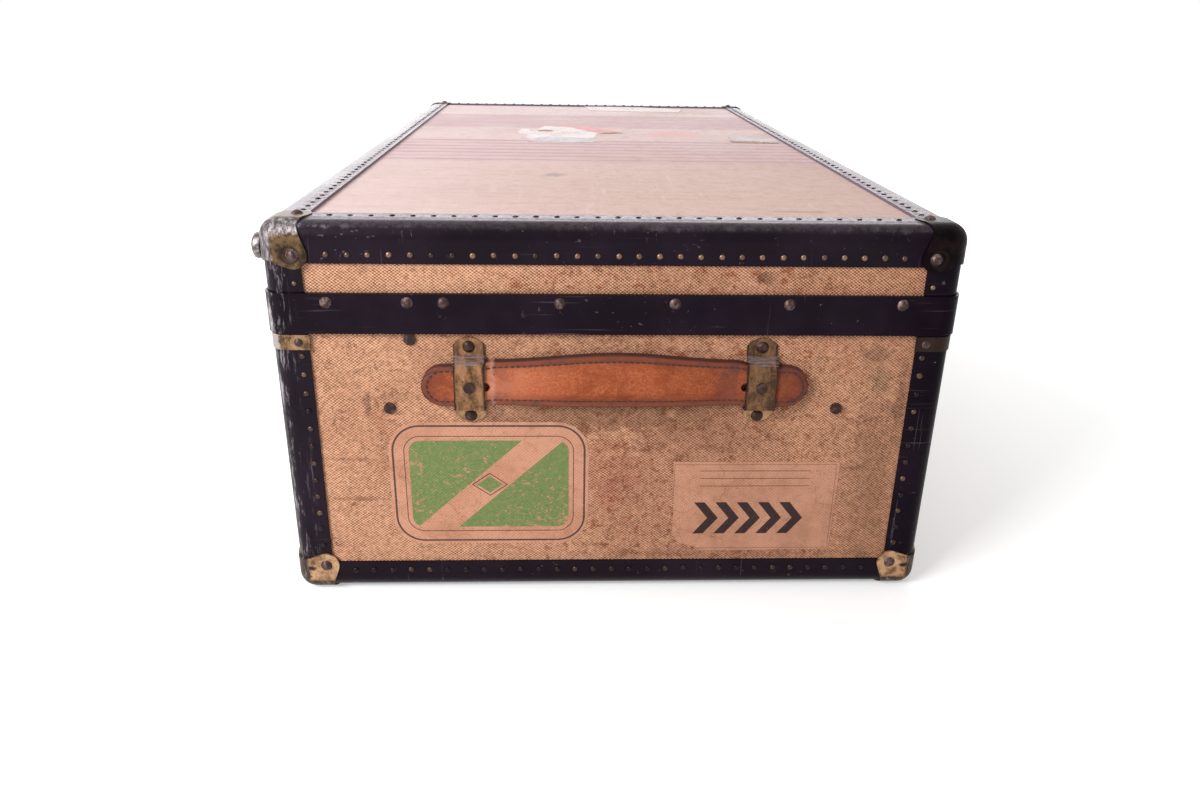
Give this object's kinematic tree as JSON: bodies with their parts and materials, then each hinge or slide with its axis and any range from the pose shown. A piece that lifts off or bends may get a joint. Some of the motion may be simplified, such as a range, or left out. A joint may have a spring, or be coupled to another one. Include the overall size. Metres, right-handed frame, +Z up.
{
  "type": "travel trunk",
  "caption": "Low cabin trunk: canvas-covered plywood case, black fibre bindings, brass corner caps, overhanging lid band, hinged lid with folding stays, hasp lock, clasps, leather end handles.",
  "frame": {"origin": "centre of the bounding box in plan, on the floor that the bottom corner caps stand on", "axes": "+Z up, +Y along the length away from the pictured end, +X towards the lock side"},
  "size_m": [0.5478, 1.027, 0.3214],
  "materials": {
    "plywood": "plain sawn plywood",
    "canvas": "tan canvas, stained and worn",
    "lining_paper": "plain aged paper",
    "black_fibre": "black vulcanised fibre, semi-gloss and scuffed",
    "worn_brass": "tarnished brass, worn bright on edges",
    "dark_rivet": "browned brass, rubbed on the crown",
    "black_steel": "black enamel, scratched and chipped",
    "bare_steel": "dull plated steel",
    "tan_leather": "orange-brown leather with dark edges"
  },
  "bodies": {
    "case": {"floor_panel": "plywood", "lock_side_panel": "plywood", "hinge_side_panel": "plywood", "near_end_panel": "plywood", "far_end_panel": "plywood", "case_canvas": "canvas", "case_lining": "lining_paper", "bottom_bindings": "black_fibre", "case_corner_bindings": "black_fibre", "bottom_corner_caps": "worn_brass", "bottom_cap_rivets": "dark_rivet", "corner_clips": "worn_brass", "clip_rivets": "dark_rivet", "clinch_rivets": "dark_rivet", "lock_case": "worn_brass", "clasp_catches": "worn_brass", "hinge_case_leaves": "black_steel", "hinge_pins": "bare_steel", "stay_case_plates": "bare_steel", "near_handle_brackets": "worn_brass", "near_bracket_rivets": "dark_rivet", "near_strap_pins": "dark_rivet", "near_strap_ends": "tan_leather", "far_handle_brackets": "worn_brass", "far_bracket_rivets": "dark_rivet", "far_strap_pins": "dark_rivet", "far_strap_ends": "tan_leather"},
    "lid": {"lid_top_panel": "plywood", "lid_lock_rail": "plywood", "lid_hinge_rail": "plywood", "lid_near_rail": "plywood", "lid_far_rail": "plywood", "lid_canvas": "canvas", "lid_lining": "lining_paper", "lid_top_bindings": "black_fibre", "lid_corner_bindings": "black_fibre", "top_corner_caps": "worn_brass", "top_cap_rivets": "dark_rivet", "lid_band": "black_steel", "band_packing": "black_fibre", "band_rivets": "dark_rivet", "hasp_plates": "worn_brass", "hasp_pins": "bare_steel", "hinge_lid_leaves": "black_steel", "stay_lid_plates": "bare_steel"},
    "lock_hasp": {"lock_hasp": "worn_brass"},
    "near_clasp": {"near_clasp": "worn_brass"},
    "far_clasp": {"far_clasp": "worn_brass"},
    "key_plug": {"lock_key_plug": "worn_brass"},
    "lock_bolt": {"lock_bolt": "bare_steel"},
    "near_handle": {"near_handle_grip": "tan_leather"},
    "far_handle": {"far_handle_grip": "tan_leather"},
    "near_stay_lower": {"near_stay_lower_arm": "bare_steel", "near_stay_elbow_pin": "bare_steel"},
    "near_stay_upper": {"near_stay_upper_arm": "bare_steel"},
    "far_stay_lower": {"far_stay_lower_arm": "bare_steel", "far_stay_elbow_pin": "bare_steel"},
    "far_stay_upper": {"far_stay_upper_arm": "bare_steel"}
  },
  "joints": [
    {"name": "lid_hinge", "type": "hinge", "parent": "case", "child": "lid", "pos_m": [-0.2705, 0, 0.228], "axis": [0, -1, 0], "range_deg": [0, 95]},
    {"name": "lock_hasp_swing", "type": "hinge", "parent": "lid", "child": "lock_hasp", "pos_m": [0.2689, 0, 0.24], "axis": [0, -1, 0], "range_deg": [0, 120]},
    {"name": "near_clasp_swing", "type": "hinge", "parent": "lid", "child": "near_clasp", "pos_m": [0.2689, -0.31, 0.24], "axis": [0, -1, 0], "range_deg": [0, 120]},
    {"name": "far_clasp_swing", "type": "hinge", "parent": "lid", "child": "far_clasp", "pos_m": [0.2689, 0.31, 0.24], "axis": [0, -1, 0], "range_deg": [0, 120]},
    {"name": "key_turn", "type": "hinge", "parent": "case", "child": "key_plug", "pos_m": [0.2679, 0, 0.184], "axis": [-1, 0, 0], "range_deg": [0, 90]},
    {"name": "bolt_slide", "type": "slide", "parent": "case", "child": "lock_bolt", "axis": [0, 1, 0], "range_m": [0, 0.00707]},
    {"name": "near_handle_pull", "type": "slide", "parent": "case", "child": "near_handle", "axis": [0, -1, 0], "range_m": [0, 0.024]},
    {"name": "far_handle_pull", "type": "slide", "parent": "case", "child": "far_handle", "axis": [0, 1, 0], "range_m": [0, 0.024]},
    {"name": "near_stay_lower_turn", "type": "hinge", "parent": "case", "child": "near_stay_lower", "pos_m": [-0.19256, -0.4858, 0.183], "axis": [0, -1, 0], "range_deg": [0, 95]},
    {"name": "near_stay_upper_turn", "type": "hinge", "parent": "near_stay_lower", "child": "near_stay_upper", "pos_m": [-0.11461, -0.4858, 0.228], "axis": [0, -1, 0], "range_deg": [-95, 0]},
    {"name": "far_stay_lower_turn", "type": "hinge", "parent": "case", "child": "far_stay_lower", "pos_m": [-0.19256, 0.4858, 0.183], "axis": [0, -1, 0], "range_deg": [0, 95]},
    {"name": "far_stay_upper_turn", "type": "hinge", "parent": "far_stay_lower", "child": "far_stay_upper", "pos_m": [-0.11461, 0.4858, 0.228], "axis": [0, -1, 0], "range_deg": [-95, 0]}
  ],
  "couplings": [
    {"joint": "bolt_slide", "follows": "key_turn", "m_per_rad": 0.0045016},
    {"joint": "near_stay_lower_turn", "follows": "lid_hinge", "ratio": 1},
    {"joint": "near_stay_upper_turn", "follows": "lid_hinge", "ratio": -1},
    {"joint": "far_stay_lower_turn", "follows": "lid_hinge", "ratio": 1},
    {"joint": "far_stay_upper_turn", "follows": "lid_hinge", "ratio": -1}
  ]
}
